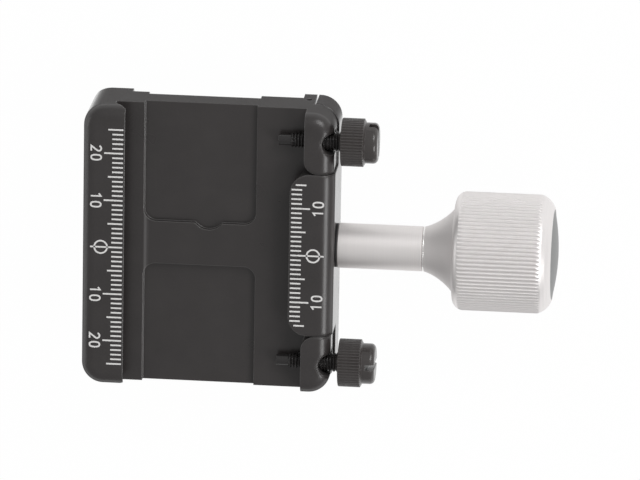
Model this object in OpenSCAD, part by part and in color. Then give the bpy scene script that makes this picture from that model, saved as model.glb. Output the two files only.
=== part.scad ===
// Screw-knob quick release clamp for dovetail camera plates.
// X runs from the fixed jaw to the knob, Y along the dovetail, Z up.
// X = 0 is the middle between the two jaw lips, Z = 0 the underside.

/* [Body] */
// Length of the clamp along the dovetail
body_len = 59.6; // [56:0.1:70]
// Height from the underside to the top of the jaws
body_h = 16.4; // [15.8:0.1:17.4]
// Width of the fixed jaw, from its lip to its outer wall
fixed_jaw_w = 8.75; // [8:0.05:11]
// Round along the top outer edges
edge_r = 2.7; // [1.5:0.1:3.2]
// Radius of the upright corners
corner_r = 4.5; // [4:0.1:6]

/* [Dovetail channel] */
// Distance between the two lips at rest
lip_gap = 34; // [33:0.1:38]
// Height of the upright land on a lip
lip_land = 1; // [0.6:0.1:1.4]
// How far the 45 degree flank runs back under a lip
undercut = 2.4; // [1.5:0.1:2.8]
// Depth of the plate rail below the top
rail_depth = 5; // [4.8:0.05:5.4]
// Width of the rail beside the fixed jaw
rail_w = 3.5; // [3:0.1:5]
// How far the middle floor lies below the rail
floor_drop = 0.2; // [0.1:0.05:0.4]
// Run of the slope from the rail down to the floor
rail_ramp = 1; // [0.6:0.1:1.5]

/* [Floor pockets] */
// Width of a pocket across the channel
pocket_w = 23.1; // [20:0.1:24]
// Depth of a pocket below the rail
pocket_depth = 1.3; // [0.8:0.1:1.5]
// Width of the web left between the pockets
web_w = 9; // [8:0.1:12]
// Radius of a pocket's inner corners
pocket_r = 2.5; // [1:0.1:4]
// Radius of the arc notch in one pocket's inner edge
notch_r = 3.5; // [3:0.1:4.5]
// How far the notch reaches into the web
notch_depth = 1.4; // [0.8:0.1:2]

/* [Moving jaw] */
// Width of the moving jaw, from its lip to its outer wall
moving_jaw_w = 9.05; // [8.5:0.05:9.5]
// How far its outer wall stands out from the corner blocks at rest
jaw_proud = 0.3; // [0:0.05:0.5]
// Thickness of the upright leg and of the bar below it
leg_t = 4.85; // [4:0.05:5]
// Depth of the full-length bar's upper face below the top
bar_depth = 9.1; // [9:0.05:9.8]
// Plan radius of the head's inner corners
head_r = 4; // [2:0.1:5]
// Gap between leg and base at rest, which is the closing travel
closing_gap = 0.4; // [0.3:0.05:0.8]
// Running clearance between the jaw and the base
slide_gap = 0.2; // [0.1:0.05:0.3]

/* [Corner blocks] */
// Width of a corner block, from its inner face to the outer wall
block_w = 6; // [5.8:0.1:7]
// Length of a corner block along the dovetail
block_len = 12.45; // [11.1:0.05:14.5]
// Radius of the block's inner corner beside the head
block_r = 2.8; // [1:0.1:3.4]
// Radius of the upright scallop round the stop screw
scallop_r = 2.3; // [2.2:0.1:2.8]
// Depth of the scallop from the outer wall
scallop_depth = 2.4; // [2:0.1:2.8]
// Depth of the bevel under the ends of the pockets
end_bevel = 4.8; // [4:0.1:5.4]
// Depth of the bevel under the ends of the rail
rail_bevel = 3.4; // [3:0.1:4]
// Depth of the bevel between the pockets and the corner blocks
side_bevel = 3; // [2:0.1:3.4]
// Depth of the bevel under the ends of the fixed jaw
jaw_bevel = 1.3; // [0.5:0.1:2]
// Length of full-height end wall inside a corner block
foot_len = 1.5; // [0.5:0.1:2.5]

/* [Spindle and knob] */
// Depth of the spindle axis below the top
spindle_depth = 8.9; // [8.7:0.05:9.1]
// Diameter of the spindle thread
spindle_d = 6; // [5:0.1:6]
// Length of spindle screwed into the base at rest
spindle_hold = 14; // [11:0.5:14.5]
// Diameter of the spacer sleeve
sleeve_d = 9.26; // [8.6:0.02:9.6]
// Length of the spacer sleeve
sleeve_len = 17.6; // [12:0.1:24]
// Thickness of the black washer on the jaw
jaw_washer_t = 0.3; // [0.2:0.05:0.8]
// Thickness of the bright ring beside the knob
ring_t = 0.3; // [0.2:0.05:0.6]
// Diameter of the knob's barrel
knob_d = 24.4; // [22:0.1:28]
// Length of the knob's flared neck
neck_len = 6.1; // [5:0.1:7]
// Length of the knob's barrel
barrel_len = 20.3; // [18:0.1:24]
// Radius of the flare's concave curve
flare_r = 12.6; // [11.5:0.1:14]
// Angle of the flare where it leaves the sleeve
flare_start = 17.7; // [15:0.1:19]
// Number of flutes round the barrel
flutes = 88; // [60:1:100]
// Depth of a flute
flute_depth = 0.26; // [0.16:0.02:0.34]
// Diameter of the end cap
cap_d = 18.5; // [16:0.1:18.8]
// Height of the cap's dome
cap_dome = 1; // [0.6:0.1:1.4]
// Thickness of the cap's plate
cap_t = 1.5; // [1:0.1:2]
// Length of the screw in the spindle's end
knob_screw_len = 12; // [9:0.5:14]

/* [Guide pins and springs] */
// Distance of a guide pin from the end of the jaw's head
pin_inset = 4.65; // [4.2:0.05:7]
// Diameter of a guide pin
pin_d = 2.5; // [2:0.1:3]
// Length of a guide pin
pin_len = 13.2; // [12:0.1:13.5]
// Outer diameter of a return spring
spring_d = 4.2; // [4:0.1:4.4]
// Wire of a return spring
spring_wire = 0.45; // [0.3:0.05:0.5]
// Number of turns in a spring
spring_turns = 5; // [4:1:7]
// Depth of a spring's pocket in the base
spring_pocket = 5; // [4:0.1:6]

/* [Stop screws] */
// Distance of a stop screw from the end of the body
stop_inset = 6.25; // [5.8:0.05:7.2]
// Depth of a stop screw's axis below the top
stop_depth = 3.6; // [3.4:0.05:3.7]
// Diameter of the stop screw's thread
stop_d = 4.1; // [3.6:0.1:4.2]
// Pitch of the stop screw's thread
stop_pitch = 0.65; // [0.5:0.05:0.8]
// Depth of the thread's grooves
groove_depth = 0.32; // [0.2:0.02:0.4]
// Length of thread and dog inside the head
stop_len = 12.95; // [12:0.05:14]
// Diameter of the thinner thread behind the dog
tip_d = 3.1; // [2.8:0.1:3.6]
// Length of the thinner thread
tip_len = 3.3; // [2.5:0.1:4]
// Diameter of the dog tip
dog_d = 2.3; // [1.8:0.1:2.6]
// Length of the dog tip
dog_len = 2.5; // [1.5:0.1:3]
// Gap between the head and the block at rest
stop_gap = 1.15; // [1:0.05:2]
// How much further out the lower screw stands
lower_out = 0.25; // [0:0.05:0.5]
// Diameter of the knurled head
stop_head_d = 9.9; // [8:0.1:10.4]
// Length of the knurled head
stop_head_len = 4.9; // [4:0.1:6]
// Diameter of the slotted boss
boss_d = 8.4; // [7:0.1:9]
// Length of the slotted boss
boss_len = 2.6; // [2.2:0.1:4]
// Width of the driver slot
slot_w = 1.2; // [0.8:0.1:1.5]
// Depth of the driver slot
slot_depth = 1.9; // [1:0.1:2]
// Turn of the upper screw's slot away from upright
upper_slot_turn = -74; // [-90:1:90]
// Turn of the lower screw's slot away from upright
lower_slot_turn = -4; // [-90:1:90]
// Number of teeth in the head's knurl
knurls = 48; // [36:1:60]
// Depth of the knurl
knurl_depth = 0.22; // [0.1:0.02:0.3]

/* [Mounting hole] */
// Minor diameter of the tapped hole in the underside
mount_d = 7.94; // [5:0.02:8.2]
// Depth of the tapped hole
mount_depth = 6.5; // [5:0.1:6.8]

/* [Hidden] */
$fn = 96;
eps = 0.01;
far = 100;

black = "#2b2a2b";
silver = "#cfcac8";
steel = "#9a9a9c";
grey = "#7d807f";

// Places along X
lip_x = lip_gap / 2;
wall_x0 = -lip_x - fixed_jaw_w;
wall_x1 = lip_x + moving_jaw_w;
base_wall_x = wall_x1 - jaw_proud;
leg_x = wall_x1 - leg_t;
base_face_x = leg_x - closing_gap;
block_x = base_wall_x - block_w;
foot_x = block_x - foot_len;
rail_x = -lip_x + rail_w;
sleeve_x = wall_x1 + jaw_washer_t;
ring_x = sleeve_x + sleeve_len;
neck_x = ring_x + ring_t;
barrel_x = neck_x + neck_len;
knob_end_x = barrel_x + barrel_len;

// Heights
rail_z = body_h - rail_depth;
floor_z = rail_z - floor_drop;
pocket_z = rail_z - pocket_depth;
head_z = floor_z + slide_gap;
stop_z = body_h - stop_depth;
spindle_z = body_h - spindle_depth;
bar_h = body_h - bar_depth;

// Half lengths and places along Y
half_len = body_len / 2;
half_slot = half_len - block_len;
half_head = half_slot - slide_gap;
stop_y = half_len - stop_inset;
pin_y = half_head - pin_inset;

// Fits
thread_gap = 0.05;
bore_gap = 0.1;
pin_gap = 0.05;

// Knob details
knob_r = knob_d / 2;
rim_r = 2.2;
neck_r = sleeve_d / 2;
// Rounded chamfer at the knob's end, as steps back along X and in towards the axis
end_steps = [[2.8, 0], [1.9, 0.35], [1.15, 0.9], [0.5, 1.65], [0, 2.55]];
// Share of the pitch that a flute takes
flute_share = 0.78;
cap_gap = 0.05;
cap_rim = 0.3;
screw_head_d = 7;
screw_head_h = 2.4;
screw_d = 3.3;
screw_clear = 0.3;
screw_hex = 2.9;
screw_hex_depth = 1.4;
screw_head_room = 0.5;
seat_d = 8;
seat_wall = 4;
cap_x = knob_end_x - cap_t;
screw_seat_x = cap_x - screw_head_h - screw_head_room;
spindle_end_x = screw_seat_x - seat_wall;

// Guide pin details
pin_cover = 0.7;
pin_room = 0.6;
pin_taper = 0.3;
pin_x = wall_x1 - pin_cover - pin_len;
pocket_gap = 0.3;

// Stop screw details
stop_room = 1.2;
boss_round = 1;
knurl_edge = 0.1;
head_slope_x = 0.4;
head_slope_r = 0.7;

// Arc notch, and the small screw in the upper end wall
notch_shift = 1.8;
grub_d = 1.4;
grub_len = 4.8;
grub_hex = 0.7;
grub_hex_depth = 1;
grub_sink = 0.2;
grub_x = block_x - 0.2;
grub_y = half_len - grub_sink - grub_len;
grub_z = 4.2;

// An upright plate profile, w wide and h high, with round top corners
module arch_profile(w, h, r) {
    difference() {
        translate([-w / 2, 0]) square([w, h]);
        for (s = [-1, 1])
            translate([s * (w / 2 - r), h - r])
                difference() {
                    translate([s > 0 ? 0 : -r - 1, 0]) square([r + 1, r + 1]);
                    circle(r);
                }
    }
}

// One quarter of a round corner post with the top edge rounded
module corner_post(turn) {
    rotate([0, 0, turn])
        rotate_extrude(angle = 90)
            intersection() {
                arch_profile(2 * corner_r, body_h, edge_r);
                square([corner_r, body_h]);
            }
}

// The outer form that base and moving jaw share when closed
module envelope() {
    mid_x = (wall_x0 + base_wall_x) / 2;
    w = base_wall_x - wall_x0;
    cx = w / 2 - corner_r;
    cy = half_len - corner_r;
    translate([mid_x, 0, 0]) {
        translate([cx, cy, 0]) corner_post(0);
        translate([-cx, cy, 0]) corner_post(90);
        translate([-cx, -cy, 0]) corner_post(180);
        translate([cx, -cy, 0]) corner_post(270);
        rotate([90, 0, 90])
            translate([0, 0, -cx]) linear_extrude(2 * cx) arch_profile(body_len, body_h, edge_r);
        rotate([90, 0, 0])
            translate([0, 0, -cy]) linear_extrude(2 * cy) arch_profile(w, body_h, edge_r);
    }
}

// A bore along X from x0 to x1
module bore_x(d, x0, x1, y, z) {
    translate([x0, y, z]) rotate([0, 90, 0]) cylinder(d = d, h = x1 - x0);
}

// Section of the channel beside the fixed jaw, in X and Z
module channel_profile() {
    top = body_h + 1;
    polygon([[-lip_x, top],
             [-lip_x, body_h - lip_land],
             [-lip_x - undercut, body_h - lip_land - undercut],
             [-lip_x - undercut, rail_z],
             [rail_x, rail_z],
             [rail_x + rail_ramp, floor_z],
             [block_x, floor_z],
             [block_x, top]]);
}

// An open-ended pocket in the floor on the side s of the middle
module floor_pocket(s) {
    w = pocket_w;
    translate([rail_x, 0, pocket_z]) mirror([0, s < 0 ? 1 : 0, 0])
        linear_extrude(body_h)
            union() {
                translate([0, web_w / 2 + pocket_r]) square([w, half_len]);
                translate([pocket_r, web_w / 2]) square([w - 2 * pocket_r, half_len]);
                for (x = [pocket_r, w - pocket_r])
                    translate([x, web_w / 2 + pocket_r]) circle(pocket_r);
            }
}

// Bevel under one end of the body
module under_bevel(s, x0, x1, size) {
    translate([x0, s * half_len, 0]) rotate([90, 0, 90])
        linear_extrude(x1 - x0)
            polygon([[-s * size, 0], [0, size], [s, size], [s, -1], [-s * size, -1]]);
}

// Space for the moving jaw's head, leg and bar
module jaw_space() {
    translate([base_face_x, -far, -1]) cube([far, 2 * far, bar_h + slide_gap + 1]);
    translate([base_face_x, -half_slot, -1]) cube([far, 2 * half_slot, far]);
    translate([block_x - eps, -half_slot, floor_z]) cube([far, 2 * half_slot, far]);
}

// Round on a corner block's inner corner, next to the head
module block_corner_cut(s) {
    translate([block_x, s * half_slot, floor_z])
        linear_extrude(far)
            difference() {
                translate([-1, s > 0 ? -1 : -block_r]) square([block_r + 1, block_r + 1]);
                translate([block_r, s * block_r]) circle(block_r);
            }
}

module base() {
    color(black)
    difference() {
        envelope();
        rotate([90, 0, 0]) translate([0, 0, -far]) linear_extrude(2 * far) channel_profile();
        for (s = [-1, 1]) {
            floor_pocket(s);
            under_bevel(s, wall_x0 - 1, foot_x, jaw_bevel);
            under_bevel(s, -lip_x, foot_x, side_bevel);
            under_bevel(s, -lip_x, rail_x + pocket_w, rail_bevel);
            under_bevel(s, rail_x, rail_x + pocket_w, end_bevel);
            block_corner_cut(s);
            // Tapped hole for the stop screw, and the scallop round it
            bore_x(stop_d + 2 * thread_gap, block_x - stop_room, wall_x1 + 1, s * stop_y, stop_z);
            translate([base_wall_x + scallop_r - scallop_depth, s * stop_y, stop_z - scallop_r])
                cylinder(r = scallop_r, h = far);
            // Guide pin bore and spring pocket
            bore_x(pin_d + 2 * pin_gap, pin_x - pin_room, base_face_x + 1, s * pin_y, spindle_z);
            bore_x(spring_d + 2 * pocket_gap, base_face_x - spring_pocket, base_face_x + 1, s * pin_y, spindle_z);
        }
        // Arc notch in the pocket on the upper side
        translate([rail_x + pocket_w / 2 + notch_shift, web_w / 2 - notch_depth + notch_r, pocket_z])
            cylinder(r = notch_r, h = body_h);
        jaw_space();
        bore_x(spindle_d + 2 * thread_gap, base_face_x - spindle_hold - 1, base_face_x + 1, 0, spindle_z);
        // Tapped hole in the underside
        translate([0, 0, -1]) cylinder(d = mount_d, h = mount_depth + 1);
        // Hole of the small screw in the upper end wall
        translate([grub_x, grub_y, grub_z]) rotate([-90, 0, 0]) cylinder(d = grub_d, h = grub_len + 1);
    }
}

// Section of the moving jaw's hook, in X and Z
module hook_profile() {
    polygon([[lip_x, far],
             [lip_x, body_h - lip_land],
             [lip_x + undercut, body_h - lip_land - undercut],
             [lip_x + undercut, head_z],
             [leg_x, head_z],
             [leg_x, -1],
             [wall_x1 + 1, -1],
             [wall_x1 + 1, far]]);
}

module moving_jaw() {
    color(black)
    difference() {
        intersection() {
            translate([jaw_proud, 0, 0]) envelope();
            rotate([90, 0, 0]) translate([0, 0, -half_len]) linear_extrude(body_len) hook_profile();
            union() {
                translate([leg_x - 1, -far, -1]) cube([far, 2 * far, bar_h + 1]);
                translate([lip_x, -half_head + head_r, -1]) cube([far, 2 * (half_head - head_r), far]);
                translate([lip_x + head_r, -half_head, -1]) cube([far, 2 * half_head, far]);
                for (s = [-1, 1])
                    translate([lip_x + head_r, s * (half_head - head_r), 0]) cylinder(r = head_r, h = far);
            }
        }
        bore_x(spindle_d + 2 * bore_gap, leg_x - 1, wall_x1 + 1, 0, spindle_z);
        for (s = [-1, 1])
            bore_x(pin_d, leg_x - 1, wall_x1 - pin_cover, s * pin_y, spindle_z);
    }
}

module spindle() {
    color(steel)
    difference() {
        bore_x(spindle_d, base_face_x - spindle_hold, spindle_end_x, 0, spindle_z);
        bore_x(screw_d, screw_seat_x - knob_screw_len, spindle_end_x + 1, 0, spindle_z);
    }
}

// Half section of the knob: x along the axis, y its radius
module knob_profile() {
    knob_len = neck_len + barrel_len;
    difference() {
        square([knob_len, knob_r]);
        // Concave flare of the neck
        intersection() {
            translate([-flare_r * sin(flare_start), neck_r + flare_r * cos(flare_start)]) circle(flare_r);
            translate([-1, 0]) square([neck_len + 1, far]);
        }
        // Round rim beside the flare
        translate([neck_len, knob_r - rim_r])
            difference() {
                translate([-1, 0]) square([rim_r + 1, rim_r + 1]);
                translate([rim_r, 0]) circle(rim_r);
            }
        // Rounded chamfer at the outer end
        polygon(concat([for (e = end_steps) [knob_len - e[0], knob_r - e[1]]],
                       [[knob_len + 1, knob_r - end_steps[4][1]], [knob_len + 1, knob_r + 1],
                        [knob_len - end_steps[0][0], knob_r + 1]]));
    }
}

// The barrel's fluted outline, in the plane across the axis
module fluted_disc() {
    half_w = flute_share * knob_r * sin(180 / flutes);
    cut_r = (pow(half_w, 2) + pow(flute_depth, 2)) / (2 * flute_depth);
    difference() {
        circle(knob_r + 1);
        for (i = [0 : flutes - 1])
            rotate(i * 360 / flutes) translate([knob_r - flute_depth + cut_r, 0]) circle(cut_r, $fn = 24);
    }
}

module knob() {
    color(silver)
    difference() {
        translate([neck_x, 0, spindle_z]) rotate([0, 90, 0])
            intersection() {
                rotate_extrude() rotate(90) mirror([0, 1]) knob_profile();
                translate([0, 0, -1]) linear_extrude(neck_len + barrel_len + 2) fluted_disc();
            }
        bore_x(spindle_d, neck_x - 1, spindle_end_x, 0, spindle_z);
        bore_x(screw_d + screw_clear, spindle_end_x - 1, cap_x, 0, spindle_z);
        bore_x(seat_d, screw_seat_x, cap_x + eps, 0, spindle_z);
        bore_x(cap_d + 2 * cap_gap, cap_x, knob_end_x + 1, 0, spindle_z);
    }
}

// The screw that locks the knob to the spindle, under the cap
module knob_screw() {
    color(steel)
    difference() {
        union() {
            bore_x(screw_d, screw_seat_x - knob_screw_len + 1, screw_seat_x, 0, spindle_z);
            bore_x(screw_head_d, screw_seat_x, screw_seat_x + screw_head_h, 0, spindle_z);
        }
        translate([screw_seat_x + screw_head_h - screw_hex_depth, 0, spindle_z]) rotate([0, 90, 0])
            cylinder(d = screw_hex, h = 2, $fn = 6);
    }
}

module knob_cap() {
    dome_half = cap_d / 2 - cap_rim;
    dome_r = (pow(dome_half, 2) + pow(cap_dome, 2)) / (2 * cap_dome);
    color(grey)
    translate([cap_x, 0, spindle_z]) rotate([0, 90, 0]) {
        cylinder(d = cap_d, h = cap_t);
        intersection() {
            translate([0, 0, cap_t + cap_dome - dome_r]) sphere(dome_r);
            translate([0, 0, cap_t - eps]) cylinder(r = dome_half, h = far);
        }
    }
}

// A ring along X with a small chamfer on both rims
module sleeve(x0, len, od, id, chamfer) {
    translate([x0, 0, spindle_z]) rotate([0, 90, 0])
        rotate_extrude()
            polygon([[id / 2, 0], [od / 2 - chamfer, 0], [od / 2, chamfer],
                     [od / 2, len - chamfer], [od / 2 - chamfer, len], [id / 2, len]]);
}

module spacer_sleeve() {
    color(silver) sleeve(sleeve_x, sleeve_len, sleeve_d, spindle_d + 2 * bore_gap, 0.2);
}

module thrust_ring() {
    color("white") sleeve(ring_x, ring_t, sleeve_d + 0.1, spindle_d + 2 * bore_gap, 0.05);
}

module jaw_washer() {
    color(black) sleeve(wall_x1, jaw_washer_t, sleeve_d - 0.2, spindle_d + 2 * bore_gap, 0.05);
}

module guide_pin(s) {
    color(steel)
    translate([pin_x, s * pin_y, spindle_z]) rotate([0, 90, 0]) {
        cylinder(d1 = pin_d - 2 * pin_taper, d2 = pin_d, h = pin_taper);
        translate([0, 0, pin_taper]) cylinder(d = pin_d, h = pin_len - pin_taper);
    }
}

// A closed wire helix along X, swept as one polyhedron
module helix(len, coil_r, wire_r, turns) {
    steps = 14;
    sides = 6;
    n = turns * steps;
    lead = len - 2 * wire_r;
    function wire_point(i, j) =
        let (a = i * 360 / steps, b = j * 360 / sides, r = coil_r + wire_r * cos(b))
        [wire_r + lead * i / n + wire_r * sin(b), r * cos(a), r * sin(a)];
    points = [for (i = [0 : n]) for (j = [0 : sides - 1]) wire_point(i, j)];
    walls = [for (i = [0 : n - 1]) for (j = [0 : sides - 1])
        let (k = (j + 1) % sides)
        [i * sides + j, (i + 1) * sides + j, (i + 1) * sides + k, i * sides + k]];
    first = [for (j = [0 : sides - 1]) j];
    last = [for (j = [sides - 1 : -1 : 0]) n * sides + j];
    polyhedron(points, concat(walls, [first], [last]), convexity = 8);
}

module return_spring(s) {
    x0 = base_face_x - spring_pocket;
    color(steel)
    translate([x0 + eps, s * pin_y, spindle_z])
        helix(leg_x - x0 - 2 * eps, (spring_d - spring_wire) / 2, spring_wire / 2, spring_turns);
}

// A knurled outline in the plane across the axis
module knurled_disc(d) {
    difference() {
        circle(d = d + 1);
        for (i = [0 : knurls - 1])
            rotate(i * 360 / knurls) translate([d / 2 - knurl_depth, 0]) rotate(-45) square(2);
    }
}

// Half section of a thread with ring grooves, d across and len long
module thread_profile(d, len) {
    n = floor(len / stop_pitch);
    step = len / n;
    crest = d / 2;
    root = crest - groove_depth;
    polygon(concat([[0, 0]],
                   [for (i = [0 : n - 1]) each [[root, i * step], [crest, (i + 0.4) * step],
                                                [crest, (i + 0.55) * step], [root, (i + 0.95) * step]]],
                   [[root, len], [0, len]]));
}

// Half section of the head and the boss, with a rounded outer edge
module head_profile() {
    r = stop_head_d / 2;
    polygon([[0, 0], [r - knurl_edge, 0], [r, knurl_edge], [r, stop_head_len - head_slope_x],
             [r - head_slope_r, stop_head_len], [0, stop_head_len]]);
}

module boss_profile() {
    difference() {
        translate([0, stop_head_len - eps]) square([boss_d / 2, boss_len + eps]);
        translate([boss_d / 2 - boss_round, stop_head_len + boss_len - boss_round])
            difference() {
                square(2 * boss_round);
                circle(boss_round);
            }
    }
}

module stop_screw(s, out, turn) {
    color(black)
    translate([wall_x1 + stop_gap + out, s * stop_y, stop_z]) rotate([0, 90, 0])
        difference() {
            union() {
                translate([0, 0, -stop_len]) cylinder(d = dog_d, h = dog_len + eps);
                translate([0, 0, -stop_len + dog_len])
                    rotate_extrude() thread_profile(tip_d, tip_len + eps);
                translate([0, 0, -stop_len + dog_len + tip_len])
                    rotate_extrude() thread_profile(stop_d, stop_len - dog_len - tip_len + eps);
                intersection() {
                    linear_extrude(stop_head_len) knurled_disc(stop_head_d);
                    rotate_extrude() head_profile();
                }
                rotate_extrude() boss_profile();
            }
            rotate([0, 0, turn])
                translate([-far / 2, -slot_w / 2, stop_head_len + boss_len - slot_depth])
                    cube([far, slot_w, far]);
        }
}

module end_grub_screw() {
    color(steel)
    translate([grub_x, grub_y, grub_z]) rotate([-90, 0, 0])
        difference() {
            cylinder(d = grub_d, h = grub_len);
            translate([0, 0, grub_len - grub_hex_depth]) cylinder(d = grub_hex, h = 2, $fn = 6);
        }
}

base();
moving_jaw();
spindle();
knob();
knob_screw();
knob_cap();
spacer_sleeve();
thrust_ring();
jaw_washer();
guide_pin(1);  // guide_pin_upper
guide_pin(-1);  // guide_pin_lower
return_spring(1);  // return_spring_upper
return_spring(-1);  // return_spring_lower
stop_screw(1, 0, upper_slot_turn);  // stop_screw_upper
stop_screw(-1, lower_out, lower_slot_turn);  // stop_screw_lower
end_grub_screw();
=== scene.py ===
import math

import bpy
from mathutils import Matrix, Vector


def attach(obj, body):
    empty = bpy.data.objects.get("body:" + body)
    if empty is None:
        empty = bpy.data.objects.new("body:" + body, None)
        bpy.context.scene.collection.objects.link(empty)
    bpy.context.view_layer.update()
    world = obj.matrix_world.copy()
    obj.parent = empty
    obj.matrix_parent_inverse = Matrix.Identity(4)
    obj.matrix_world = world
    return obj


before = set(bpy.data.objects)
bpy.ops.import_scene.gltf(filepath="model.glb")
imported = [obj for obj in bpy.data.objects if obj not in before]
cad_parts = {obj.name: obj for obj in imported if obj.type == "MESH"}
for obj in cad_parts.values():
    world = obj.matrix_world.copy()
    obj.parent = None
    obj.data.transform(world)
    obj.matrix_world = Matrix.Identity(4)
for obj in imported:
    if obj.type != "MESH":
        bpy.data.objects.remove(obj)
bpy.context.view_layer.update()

MM = 0.001


def box(name):
    """Lowest and highest corner of a node of the frame, in millimetres"""
    points = [vertex.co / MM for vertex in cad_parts[name].data.vertices]
    return [[pick(point[axis] for point in points) for axis in range(3)] for pick in (min, max)]


def middle(name, axis):
    low, high = box(name)
    return (low[axis] + high[axis]) / 2


# Places in millimetres, in the part's frame
TOP_Z = box("base")[1][2]
SPINDLE_Z = middle("spindle", 2)
STOP_Y = middle("stop_screw_upper", 1)
STOP_Z = middle("stop_screw_upper", 2)
GRUB_Y = box("end_grub_screw")[0][1]
FLOOR_Z = -5.0

# Where a material changes, from and to, in millimetres
SOFT_EDGES_X = (20.3, 20.8)
RAIL_EDGE_X = (-13.6, -12.8)
RAIL_EDGE_Z = (11.0, 11.25)
BARREL_X = (50.0, 51.2)
SCREW_HEAD_X = (26.3, 26.9)

# Scale marks in millimetres, and the steps of their round shapes
STROKE = 0.34
MARK_LIFT = 0.014
MARK_SINK = 0.02
RING_RADIUS = 1.5
RING_STEPS = 40
ZERO_STEPS = 32
DIGIT_HALF_H = 1.03
DIGIT_HALF_W = 0.53
DIGIT_STEP = 1.9
FLAG_REACH = 0.42
FLAG_DROP = 0.41
STEM_OFF = 0.12

# Camera: its lean and roll in degrees, what it looks at, its distance in metres and its lens in pixels
CAMERA_LEAN_X = 5.25
CAMERA_LEAN_Y = 16.46
CAMERA_ROLL = 1.06
CAMERA_AIM_X = 23.363
CAMERA_AIM_Y = 3.54
CAMERA_DISTANCE = 1.495
CAMERA_LENS = 7317.0
PICTURE_WIDTH = 640.0
SENSOR_WIDTH = 36.0

# Floor, room light and lamps, with sizes in metres
FLOOR_HALF = 4.0
FLOOR_GLOW = 0.985
ROOM_BRIGHT_WAY = (0.45, 0.89, 0.0)
ROOM_LOW = 0.52
ROOM_HIGH = 0.82
LAMP_DISTANCE = 1.2


# Camera at the photograph's place
def make_camera():
    tilt_x = math.radians(CAMERA_LEAN_X)
    tilt_y = math.radians(CAMERA_LEAN_Y)
    roll = math.radians(CAMERA_ROLL)
    aim = Vector((CAMERA_AIM_X, CAMERA_AIM_Y, TOP_Z)) * MM
    back = Vector((math.tan(tilt_x), math.tan(tilt_y), 1.0)).normalized()
    right = Vector((0.0, 1.0, 0.0)).cross(back).normalized()
    up = back.cross(right)
    cam_x = math.cos(roll) * right + math.sin(roll) * up
    cam_y = math.cos(roll) * up - math.sin(roll) * right
    turn = Matrix((cam_x, cam_y, back)).transposed().to_4x4()
    data = bpy.data.cameras.new("camera")
    data.sensor_fit = "HORIZONTAL"
    data.sensor_width = SENSOR_WIDTH
    data.lens = CAMERA_LENS * SENSOR_WIDTH / PICTURE_WIDTH
    data.clip_start = 0.05
    data.clip_end = 20.0
    camera = bpy.data.objects.new("camera", data)
    bpy.context.scene.collection.objects.link(camera)
    camera.matrix_world = Matrix.Translation(aim + back * CAMERA_DISTANCE) @ turn
    bpy.context.scene.camera = camera


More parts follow.
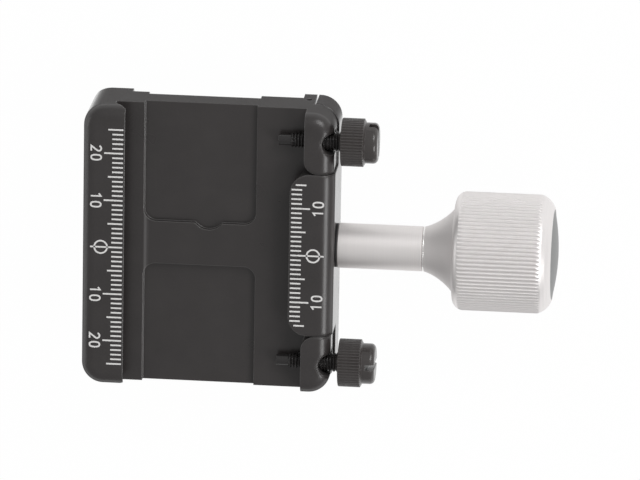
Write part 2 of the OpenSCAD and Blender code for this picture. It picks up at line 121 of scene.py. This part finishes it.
# Small helpers for node materials
class Maker:
    def __init__(self, name):
        self.material = bpy.data.materials.new(name)
        self.material.use_nodes = True
        self.tree = self.material.node_tree
        self.tree.nodes.clear()
        self.shader = self.node("ShaderNodeBsdfPrincipled")
        self.out = self.node("ShaderNodeOutputMaterial")
        self.link(self.shader.outputs["BSDF"], self.out.inputs["Surface"])
        self.place = self.node("ShaderNodeTexCoord").outputs["Object"]

    def node(self, kind, **settings):
        made = self.tree.nodes.new(kind)
        for key, value in settings.items():
            setattr(made, key, value)
        return made

    def link(self, start, end):
        self.tree.links.new(start, end)

    def put(self, socket, value):
        if isinstance(value, bpy.types.NodeSocket):
            self.link(value, socket)
        else:
            socket.default_value = value

    def set(self, **values):
        for key, value in values.items():
            self.put(self.shader.inputs[key.replace("_", " ")], value)

    def math(self, operation, a, b=0.0):
        made = self.node("ShaderNodeMath", operation=operation)
        self.put(made.inputs[0], a)
        self.put(made.inputs[1], b)
        return made.outputs[0]

    def vector(self, operation, a, b=(0.0, 0.0, 0.0), output=0):
        made = self.node("ShaderNodeVectorMath", operation=operation)
        self.put(made.inputs[0], a)
        self.put(made.inputs[1], b)
        return made.outputs[output]

    def noise(self, place, size_mm, detail, rough):
        made = self.node("ShaderNodeTexNoise")
        self.put(made.inputs["Vector"], place)
        made.inputs["Scale"].default_value = 1.0 / (size_mm * MM)
        made.inputs["Detail"].default_value = detail
        made.inputs["Roughness"].default_value = rough
        return made.outputs["Fac"]

    def spread(self, value, low, high, to_low, to_high):
        made = self.node("ShaderNodeMapRange")
        self.put(made.inputs["Value"], value)
        made.inputs["From Min"].default_value = low
        made.inputs["From Max"].default_value = high
        made.inputs["To Min"].default_value = to_low
        made.inputs["To Max"].default_value = to_high
        return made.outputs["Result"]

    def vary(self, noise, low, high):
        """A value that wanders between two levels with a noise"""
        return self.spread(noise, 0.3, 0.7, low, high)

    def two_tone(self, noise, first, second):
        """A colour that wanders between two tones with a noise"""
        return self.blend(self.vary(noise, 0.0, 1.0), first, second)

    def blend(self, factor, first, second):
        made = self.node("ShaderNodeMix", data_type="RGBA")
        self.put(made.inputs["Factor"], factor)
        for name, color in (("A", first), ("B", second)):
            self.put(made.inputs[name], (*color, 1.0) if isinstance(color, tuple) else color)
        return made.outputs["Result"]

    def vector_blend(self, factor, first, second):
        """Direction between two others; this node's vector sockets are reached by their numbers"""
        made = self.node("ShaderNodeMix", data_type="VECTOR")
        self.put(made.inputs["Factor"], factor)
        self.put(made.inputs[4], first)
        self.put(made.inputs[5], second)
        return self.vector("NORMALIZE", made.outputs[1])

    def along(self, axis):
        """Place along one axis, 0 for X, 1 for Y or 2 for Z"""
        split = self.node("ShaderNodeSeparateXYZ")
        self.link(self.place, split.inputs[0])
        return split.outputs[axis]

    def above(self, axis, low_mm, high_mm):
        """0 below a place along one axis and 1 above it, with a soft step between"""
        return self.spread(self.along(axis), low_mm * MM, high_mm * MM, 0.0, 1.0)

    def band(self, axis, low_mm, high_mm):
        """1 in the middle of a band along one axis, fading to 0 at its two sides"""
        half = (high_mm - low_mm) / 2 * MM
        off = self.math("SUBTRACT", self.along(axis), low_mm * MM + half)
        return self.spread(self.math("ABSOLUTE", off), 0.3 * half, half, 1.0, 0.0)

    def rounded(self, radius_mm):
        """Normal that shows the edges rounded"""
        made = self.node("ShaderNodeBevel", samples=8)
        made.inputs["Radius"].default_value = radius_mm * MM
        return made.outputs["Normal"]

    def edge(self, normal):
        """1 where a rounded normal turns away from the face's own, which is at the edges"""
        facing = self.node("ShaderNodeNewGeometry").outputs["Normal"]
        dot = self.vector("DOT_PRODUCT", normal, facing, output=1)
        return self.spread(self.math("SUBTRACT", 1.0, dot), 0.02, 0.25, 0.0, 1.0)

    def bump(self, height, depth_mm, strength, normal):
        """Fine relief on top of a normal"""
        made = self.node("ShaderNodeBump")
        made.inputs["Strength"].default_value = strength
        made.inputs["Distance"].default_value = depth_mm * MM
        self.link(height, made.inputs["Height"])
        self.link(normal, made.inputs["Normal"])
        return made.outputs["Normal"]

    def turned(self, axis_y, axis_z):
        """Place along the axis and distance from it, for lines that a lathe leaves"""
        away = self.vector("SUBTRACT", self.place, (0.0, axis_y * MM, axis_z * MM))
        flat = self.vector("MULTIPLY", away, (0.0, 1.0, 1.0))
        radius = self.vector("LENGTH", flat, output=1)
        along = self.node("ShaderNodeSeparateXYZ")
        self.link(away, along.inputs[0])
        joined = self.node("ShaderNodeCombineXYZ")
        self.link(along.outputs[0], joined.inputs[0])
        self.link(radius, joined.inputs[1])
        return joined.outputs[0]


# Matt black anodised aluminium with a fine blasted grain
def black_anodised(name):
    m = Maker(name)
    grain = m.noise(m.place, size_mm=0.16, detail=3.0, rough=0.6)
    cloud = m.noise(m.place, size_mm=7.0, detail=2.0, rough=0.5)
    round_normal = m.rounded(0.3)
    edge = m.edge(round_normal)
    soft_normal = m.vector_blend(m.above(0, *SOFT_EDGES_X), round_normal, m.rounded(1.1))
    # Edges painted lighter, partly as wear and partly as a painted highlight along them
    worn_and_highlit_edges = m.math("MULTIPLY", edge, m.spread(grain, 0.3, 0.6, 0.55, 1.0))

    # A face seen at a slant looks rougher, and glossier again where it is nearly edge-on
    facing = m.node("ShaderNodeLayerWeight").outputs["Facing"]
    rougher = m.spread(facing, 0.5, 0.7, 0.0, 0.42)
    glossier = m.spread(facing, 0.78, 0.9, 0.0, 0.58)
    slant = m.math("SUBTRACT", rougher, glossier)

    # Dark tone with clouds, a painted highlight line along the rail's edge, fine specks, and edges painted
    # lighter as wear and as painted highlight
    tone = m.blend(cloud, (0.018, 0.0158, 0.0156), (0.032, 0.0282, 0.0278))
    # Painted highlight: a pale line along the rail's edge where light catches it
    painted_rail_highlight = m.math("MULTIPLY", m.band(0, *RAIL_EDGE_X), m.above(2, *RAIL_EDGE_Z))
    tone = m.blend(m.math("MULTIPLY", painted_rail_highlight, 0.5), tone, (0.13, 0.125, 0.125))
    tone = m.blend(m.spread(grain, 0.35, 0.7, 0.0, 0.5), tone, (0.046, 0.041, 0.04))
    m.set(
        Base_Color=m.blend(worn_and_highlit_edges, tone, (0.15, 0.145, 0.143)),
        Roughness=m.math("ADD", m.spread(cloud, 0.0, 1.0, 0.24, 0.36), slant),
        Normal=m.bump(grain, depth_mm=0.005, strength=0.3, normal=soft_normal),
    )
    m.shader.inputs["IOR"].default_value = 1.52
    return m.material


def shade(color, share):
    return tuple(share * part for part in color)


# Satin silver anodised aluminium, turned on a lathe; a neck, where there is one, is rougher than the
# barrel and painted darker as a painted reflection of the dark body beside it
def silver_anodised(name, color, roughness, groove=0.35, neck_roughness=None):
    m = Maker(name)
    lines = m.noise(m.turned(0.0, SPINDLE_Z), size_mm=0.07, detail=2.0, rough=0.7)
    cloud = m.noise(m.place, size_mm=5.0, detail=2.0, rough=0.5)
    round_normal = m.rounded(0.12)
    tone = m.two_tone(lines, shade(color, 0.93), color)
    rough = m.spread(cloud, 0.0, 1.0, roughness - 0.05, roughness + 0.05)
    if neck_roughness:
        barrel = m.above(0, *BARREL_X)
        # Painted reflection: the neck's colour is darkened for the dark body it reflects; its extra
        # roughness is real
        tone = m.blend(barrel, shade(color, 0.88), tone)
        rough = m.math("ADD", rough, m.spread(barrel, 0.0, 1.0, neck_roughness - roughness, 0.0))
    m.set(
        Base_Color=tone,
        Metallic=1.0,
        Roughness=rough,
        Normal=m.bump(lines, depth_mm=0.004, strength=groove, normal=round_normal),
    )
    return m.material


# Grey end cap with faint turning rings
def cap_grey(name):
    m = Maker(name)
    lines = m.noise(m.turned(0.0, SPINDLE_Z), size_mm=0.09, detail=2.0, rough=0.6)
    grain = m.noise(m.place, size_mm=0.2, detail=2.0, rough=0.5)
    m.set(
        Base_Color=m.two_tone(lines, (0.235, 0.24, 0.24), (0.28, 0.283, 0.283)),
        Metallic=1.0,
        Roughness=m.vary(grain, 0.4, 0.48),
        Normal=m.bump(lines, depth_mm=0.004, strength=0.3, normal=m.rounded(0.12)),
    )
    return m.material


# Blackened steel of the stop screws and the grub screw; the shanks are darker than the heads, partly as
# blackening and partly as painted shade
def black_screw(name, axis_y):
    m = Maker(name)
    lines = m.noise(m.turned(axis_y, STOP_Z), size_mm=0.1, detail=2.0, rough=0.6)
    grain = m.noise(m.place, size_mm=0.14, detail=2.0, rough=0.5)
    round_normal = m.rounded(0.09)
    edge = m.edge(round_normal)
    tone = m.two_tone(lines, (0.034, 0.030, 0.0295), (0.056, 0.050, 0.048))
    # Shanks darker than heads: partly blackening, partly painted shade where they lie under the body
    tone = m.blend(m.above(0, *SCREW_HEAD_X), (0.016, 0.0145, 0.0145), tone)
    m.set(
        # Edges painted lighter, partly as wear and partly as a painted highlight along them
        Base_Color=m.blend(edge, tone, (0.13, 0.12, 0.115)),
        Roughness=m.vary(grain, 0.17, 0.26),
        Normal=m.bump(grain, depth_mm=0.005, strength=0.4, normal=round_normal),
    )
    return m.material


# Plain turned steel for hidden pieces
def steel(name):
    m = Maker(name)
    grain = m.noise(m.place, size_mm=0.25, detail=2.0, rough=0.5)
    m.set(
        Base_Color=m.two_tone(grain, (0.50, 0.50, 0.51), (0.58, 0.58, 0.59)),
        Metallic=1.0,
        Roughness=m.vary(grain, 0.26, 0.34),
        Normal=m.bump(grain, depth_mm=0.004, strength=0.3, normal=m.rounded(0.1)),
    )
    return m.material


# Matt black plastic washer
def black_washer(name):
    m = Maker(name)
    grain = m.noise(m.place, size_mm=0.2, detail=2.0, rough=0.5)
    m.set(
        Base_Color=m.two_tone(grain, (0.008, 0.008, 0.008), (0.014, 0.014, 0.014)),
        Roughness=m.vary(grain, 0.5, 0.6),
        Normal=m.bump(grain, depth_mm=0.005, strength=0.3, normal=m.rounded(0.06)),
    )
    return m.material


# Pale filling of the engraved marks
def mark_white(name):
    m = Maker(name)
    grain = m.noise(m.place, size_mm=0.12, detail=2.0, rough=0.6)
    m.set(
        Base_Color=m.two_tone(grain, (0.60, 0.592, 0.585), (0.76, 0.75, 0.74)),
        Roughness=m.vary(grain, 0.5, 0.65),
    )
    return m.material


def dress(names, material):
    """Give nodes of the frame their material"""
    for name in names:
        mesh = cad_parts[name].data
        mesh.materials.clear()
        mesh.materials.append(material)


def squarish(value):
    """A cosine or sine that fills the corners of an oval a little more"""
    return math.copysign(abs(value) ** 0.8, value)


# Flat strips for marks and numbers
class Strips:
    def __init__(self):
        self.points = []
        self.faces = []

    def ribbon(self, path, closed=False):
        """A strip of even width along a path of X and Y places in millimetres"""
        count = len(path)
        start = len(self.points)
        for i, here in enumerate(path):
            before = path[i - 1] if (closed or i > 0) else None
            after = path[(i + 1) % count] if (closed or i < count - 1) else None
            into = (here - before).normalized() if before is not None else None
            out = (after - here).normalized() if after is not None else None
            into = out if into is None else into
            out = into if out is None else out
            side = Vector((-(into.y + out.y), into.x + out.x)).normalized()
            reach = STROKE / 2 / max(0.5, side.dot(Vector((-out.y, out.x))))
            for level in (TOP_Z - MARK_SINK, TOP_Z + MARK_LIFT):
                for sign in (1.0, -1.0):
                    spot = here + side * reach * sign
                    self.points.append((spot.x * MM, spot.y * MM, level * MM))
        ring = range(count if closed else count - 1)
        for i in ring:
            a = start + 4 * i
            b = start + 4 * ((i + 1) % count)
            self.faces.append((a + 2, a + 3, b + 3, b + 2))
            self.faces.append((a, a + 2, b + 2, b))
            self.faces.append((a + 3, a + 1, b + 1, b + 3))
        if not closed:
            end = start + 4 * (count - 1)
            self.faces.append((start, start + 1, start + 3, start + 2))
            self.faces.append((end + 1, end, end + 2, end + 3))

    def line(self, x0, x1, y):
        self.ribbon([Vector((x0, y)), Vector((x1, y))])

    def circle(self, x, y, radius):
        turns = [2 * math.pi * i / RING_STEPS for i in range(RING_STEPS)]
        path = [Vector((x + radius * math.cos(t), y + radius * math.sin(t))) for t in turns]
        self.ribbon(path, closed=True)

    def digit(self, kind, x, y, up):
        """A digit with its middle at x, y; up is +1 where its top points to +X, or -1"""
        h = DIGIT_HALF_H
        w = DIGIT_HALF_W
        closed = kind == "0"
        if kind == "0":
            turns = [2 * math.pi * i / ZERO_STEPS for i in range(ZERO_STEPS)]
            shape = [(w * squarish(math.cos(t)), h * squarish(math.sin(t))) for t in turns]
        elif kind == "1":
            shape = [(-FLAG_REACH, h - FLAG_DROP), (STEM_OFF, h), (STEM_OFF, -h)]
        else:
            arc = [math.radians(a) for a in range(165, -40, -15)]
            shape = [(w * math.cos(t), h - w + w * math.sin(t)) for t in arc]
            shape += [(-w, -h), (w, -h)]
        self.ribbon([Vector((x + up * v, y - up * u)) for u, v in shape], closed=closed)

    def number(self, text, x, y, up):
        for i, kind in enumerate(text):
            step = (i - (len(text) - 1) / 2) * DIGIT_STEP
            self.digit(kind, x, y - up * step, up)

    def finish(self, name, body, material):
        mesh = bpy.data.meshes.new(name)
        mesh.from_pydata(self.points, [], self.faces)
        mesh.validate()
        mesh.materials.append(material)
        made = bpy.data.objects.new(name, mesh)
        bpy.context.scene.collection.objects.link(made)
        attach(made, body)


def reach_of(mark, reaches):
    """How far a mark goes, by whether it is a tenth, a fifth or another one"""
    short, fifth, tenth = reaches
    if mark % 10 == 0:
        return tenth
    if mark % 5 == 0:
        return fifth
    return short


# Millimetre scale with marks from the lip outwards, a ring on its middle mark and numbers beside the tens
def make_scale(name, body, material, last, start, last_start, reaches, middle_reach,
               ring_x, number_x, numbers):
    marks = Strips()
    up = 1 if start < 0 else -1
    for k in range(-last, last + 1):
        if k != 0:
            marks.line(last_start if abs(k) == last else start, reach_of(k, reaches), k)
    marks.line(start, middle_reach, 0.0)
    marks.circle(ring_x, 0.0, RING_RADIUS - STROKE / 2)
    for k in numbers:
        marks.number(str(abs(k)), number_x, k, up)
    marks.finish(name, body, material)


# White floor that shows its colour to the camera and keeps a faint shadow
def make_floor():
    half = FLOOR_HALF
    z = FLOOR_Z * MM
    corners = [(-half, -half, z), (half, -half, z), (half, half, z), (-half, half, z)]
    mesh = bpy.data.meshes.new("floor")
    mesh.from_pydata(corners, [], [(0, 1, 2, 3)])
    floor = bpy.data.objects.new("floor", mesh)
    bpy.context.scene.collection.objects.link(floor)
    m = Maker("floor_white")
    m.set(Base_Color=(0.82, 0.82, 0.82, 1.0), Roughness=0.9)
    m.shader.inputs["Specular IOR Level"].default_value = 0.1
    path = m.node("ShaderNodeLightPath")
    seen = m.math("MAXIMUM", path.outputs["Is Camera Ray"], path.outputs["Is Glossy Ray"])
    seen = m.math("MAXIMUM", seen, path.outputs["Is Transmission Ray"])
    glow = m.node("ShaderNodeEmission")
    glow.inputs["Strength"].default_value = 1.0
    mix = m.node("ShaderNodeMixShader")
    m.link(m.math("MULTIPLY", seen, FLOOR_GLOW), mix.inputs[0])
    m.link(m.shader.outputs["BSDF"], mix.inputs[1])
    m.link(glow.outputs["Emission"], mix.inputs[2])
    m.link(mix.outputs[0], m.out.inputs["Surface"])
    mesh.materials.append(m.material)


# Soft room light, brighter towards the right and the back
def make_world():
    world = bpy.data.worlds.new("room")
    bpy.context.scene.world = world
    world.use_nodes = True
    tree = world.node_tree
    tree.nodes.clear()
    place = tree.nodes.new("ShaderNodeTexCoord")
    toward = tree.nodes.new("ShaderNodeVectorMath")
    level = tree.nodes.new("ShaderNodeMapRange")
    glow = tree.nodes.new("ShaderNodeBackground")
    out = tree.nodes.new("ShaderNodeOutputWorld")
    toward.operation = "DOT_PRODUCT"
    toward.inputs[1].default_value = ROOM_BRIGHT_WAY
    level.inputs["From Min"].default_value = -1.0
    level.inputs["From Max"].default_value = 1.0
    level.inputs["To Min"].default_value = ROOM_LOW
    level.inputs["To Max"].default_value = ROOM_HIGH
    tree.links.new(place.outputs["Generated"], toward.inputs[0])
    tree.links.new(toward.outputs["Value"], level.inputs["Value"])
    tree.links.new(level.outputs["Result"], glow.inputs["Strength"])
    tree.links.new(glow.outputs[0], out.inputs["Surface"])


def soft_lamp(name, azimuth, elevation, width, height, radiance):
    """A soft lamp that faces the part; radiance is what a mirror would show of it"""
    turn = math.radians(azimuth)
    rise = math.radians(elevation)
    way = Vector((math.cos(rise) * math.cos(turn), math.cos(rise) * math.sin(turn), math.sin(rise)))
    data = bpy.data.lights.new(name, "AREA")
    data.shape = "RECTANGLE"
    data.size = width
    data.size_y = height
    data.energy = radiance * math.pi * width * height
    lamp = bpy.data.objects.new(name, data)
    bpy.context.scene.collection.objects.link(lamp)
    lamp.location = way * LAMP_DISTANCE
    lamp.rotation_euler = way.to_track_quat("Z", "Y").to_euler()


make_camera()

dress(["base", "moving_jaw"], black_anodised("black_anodised"))
dress(["knob"], silver_anodised("silver_knob", (0.875, 0.846, 0.838), 0.45, neck_roughness=0.66))
dress(["spacer_sleeve"], silver_anodised("silver_sleeve", (0.84, 0.81, 0.80), 0.55))
dress(["thrust_ring"], silver_anodised("bright_ring", (0.92, 0.91, 0.90), 0.2, groove=0.1))
dress(["knob_cap"], cap_grey("cap_grey"))
dress(["jaw_washer"], black_washer("black_washer"))
dress(["stop_screw_upper"], black_screw("black_screw_upper", STOP_Y))
dress(["stop_screw_lower"], black_screw("black_screw_lower", -STOP_Y))
dress(["end_grub_screw"], black_screw("black_screw_grub", GRUB_Y))
dress(["spindle", "knob_screw", "guide_pin_upper", "guide_pin_lower",
       "return_spring_upper", "return_spring_lower"], steel("steel"))

white = mark_white("scale_white")
make_scale("scale_left", "base", white, last=25, start=-17.33, last_start=-17.33,
           reaches=(-19.56, -20.41, -21.23), middle_reach=-23.96,
           ring_x=-21.77, number_x=-22.85, numbers=(20, 10, -10, -20))
make_scale("scale_right", "jaw", white, last=15, start=17.34, last_start=18.2,
           reaches=(19.51, 20.37, 21.2), middle_reach=24.21,
           ring_x=21.97, number_x=22.9, numbers=(10, -10))

make_floor()
make_world()
soft_lamp("lamp_right", azimuth=-20, elevation=43, width=0.5, height=0.5, radiance=6.0)
soft_lamp("lamp_back", azimuth=55, elevation=36, width=0.5, height=0.6, radiance=5.0)
soft_lamp("lamp_left", azimuth=180, elevation=8, width=0.7, height=0.25, radiance=1.8)

bpy.context.scene.view_settings.view_transform = "Standard"
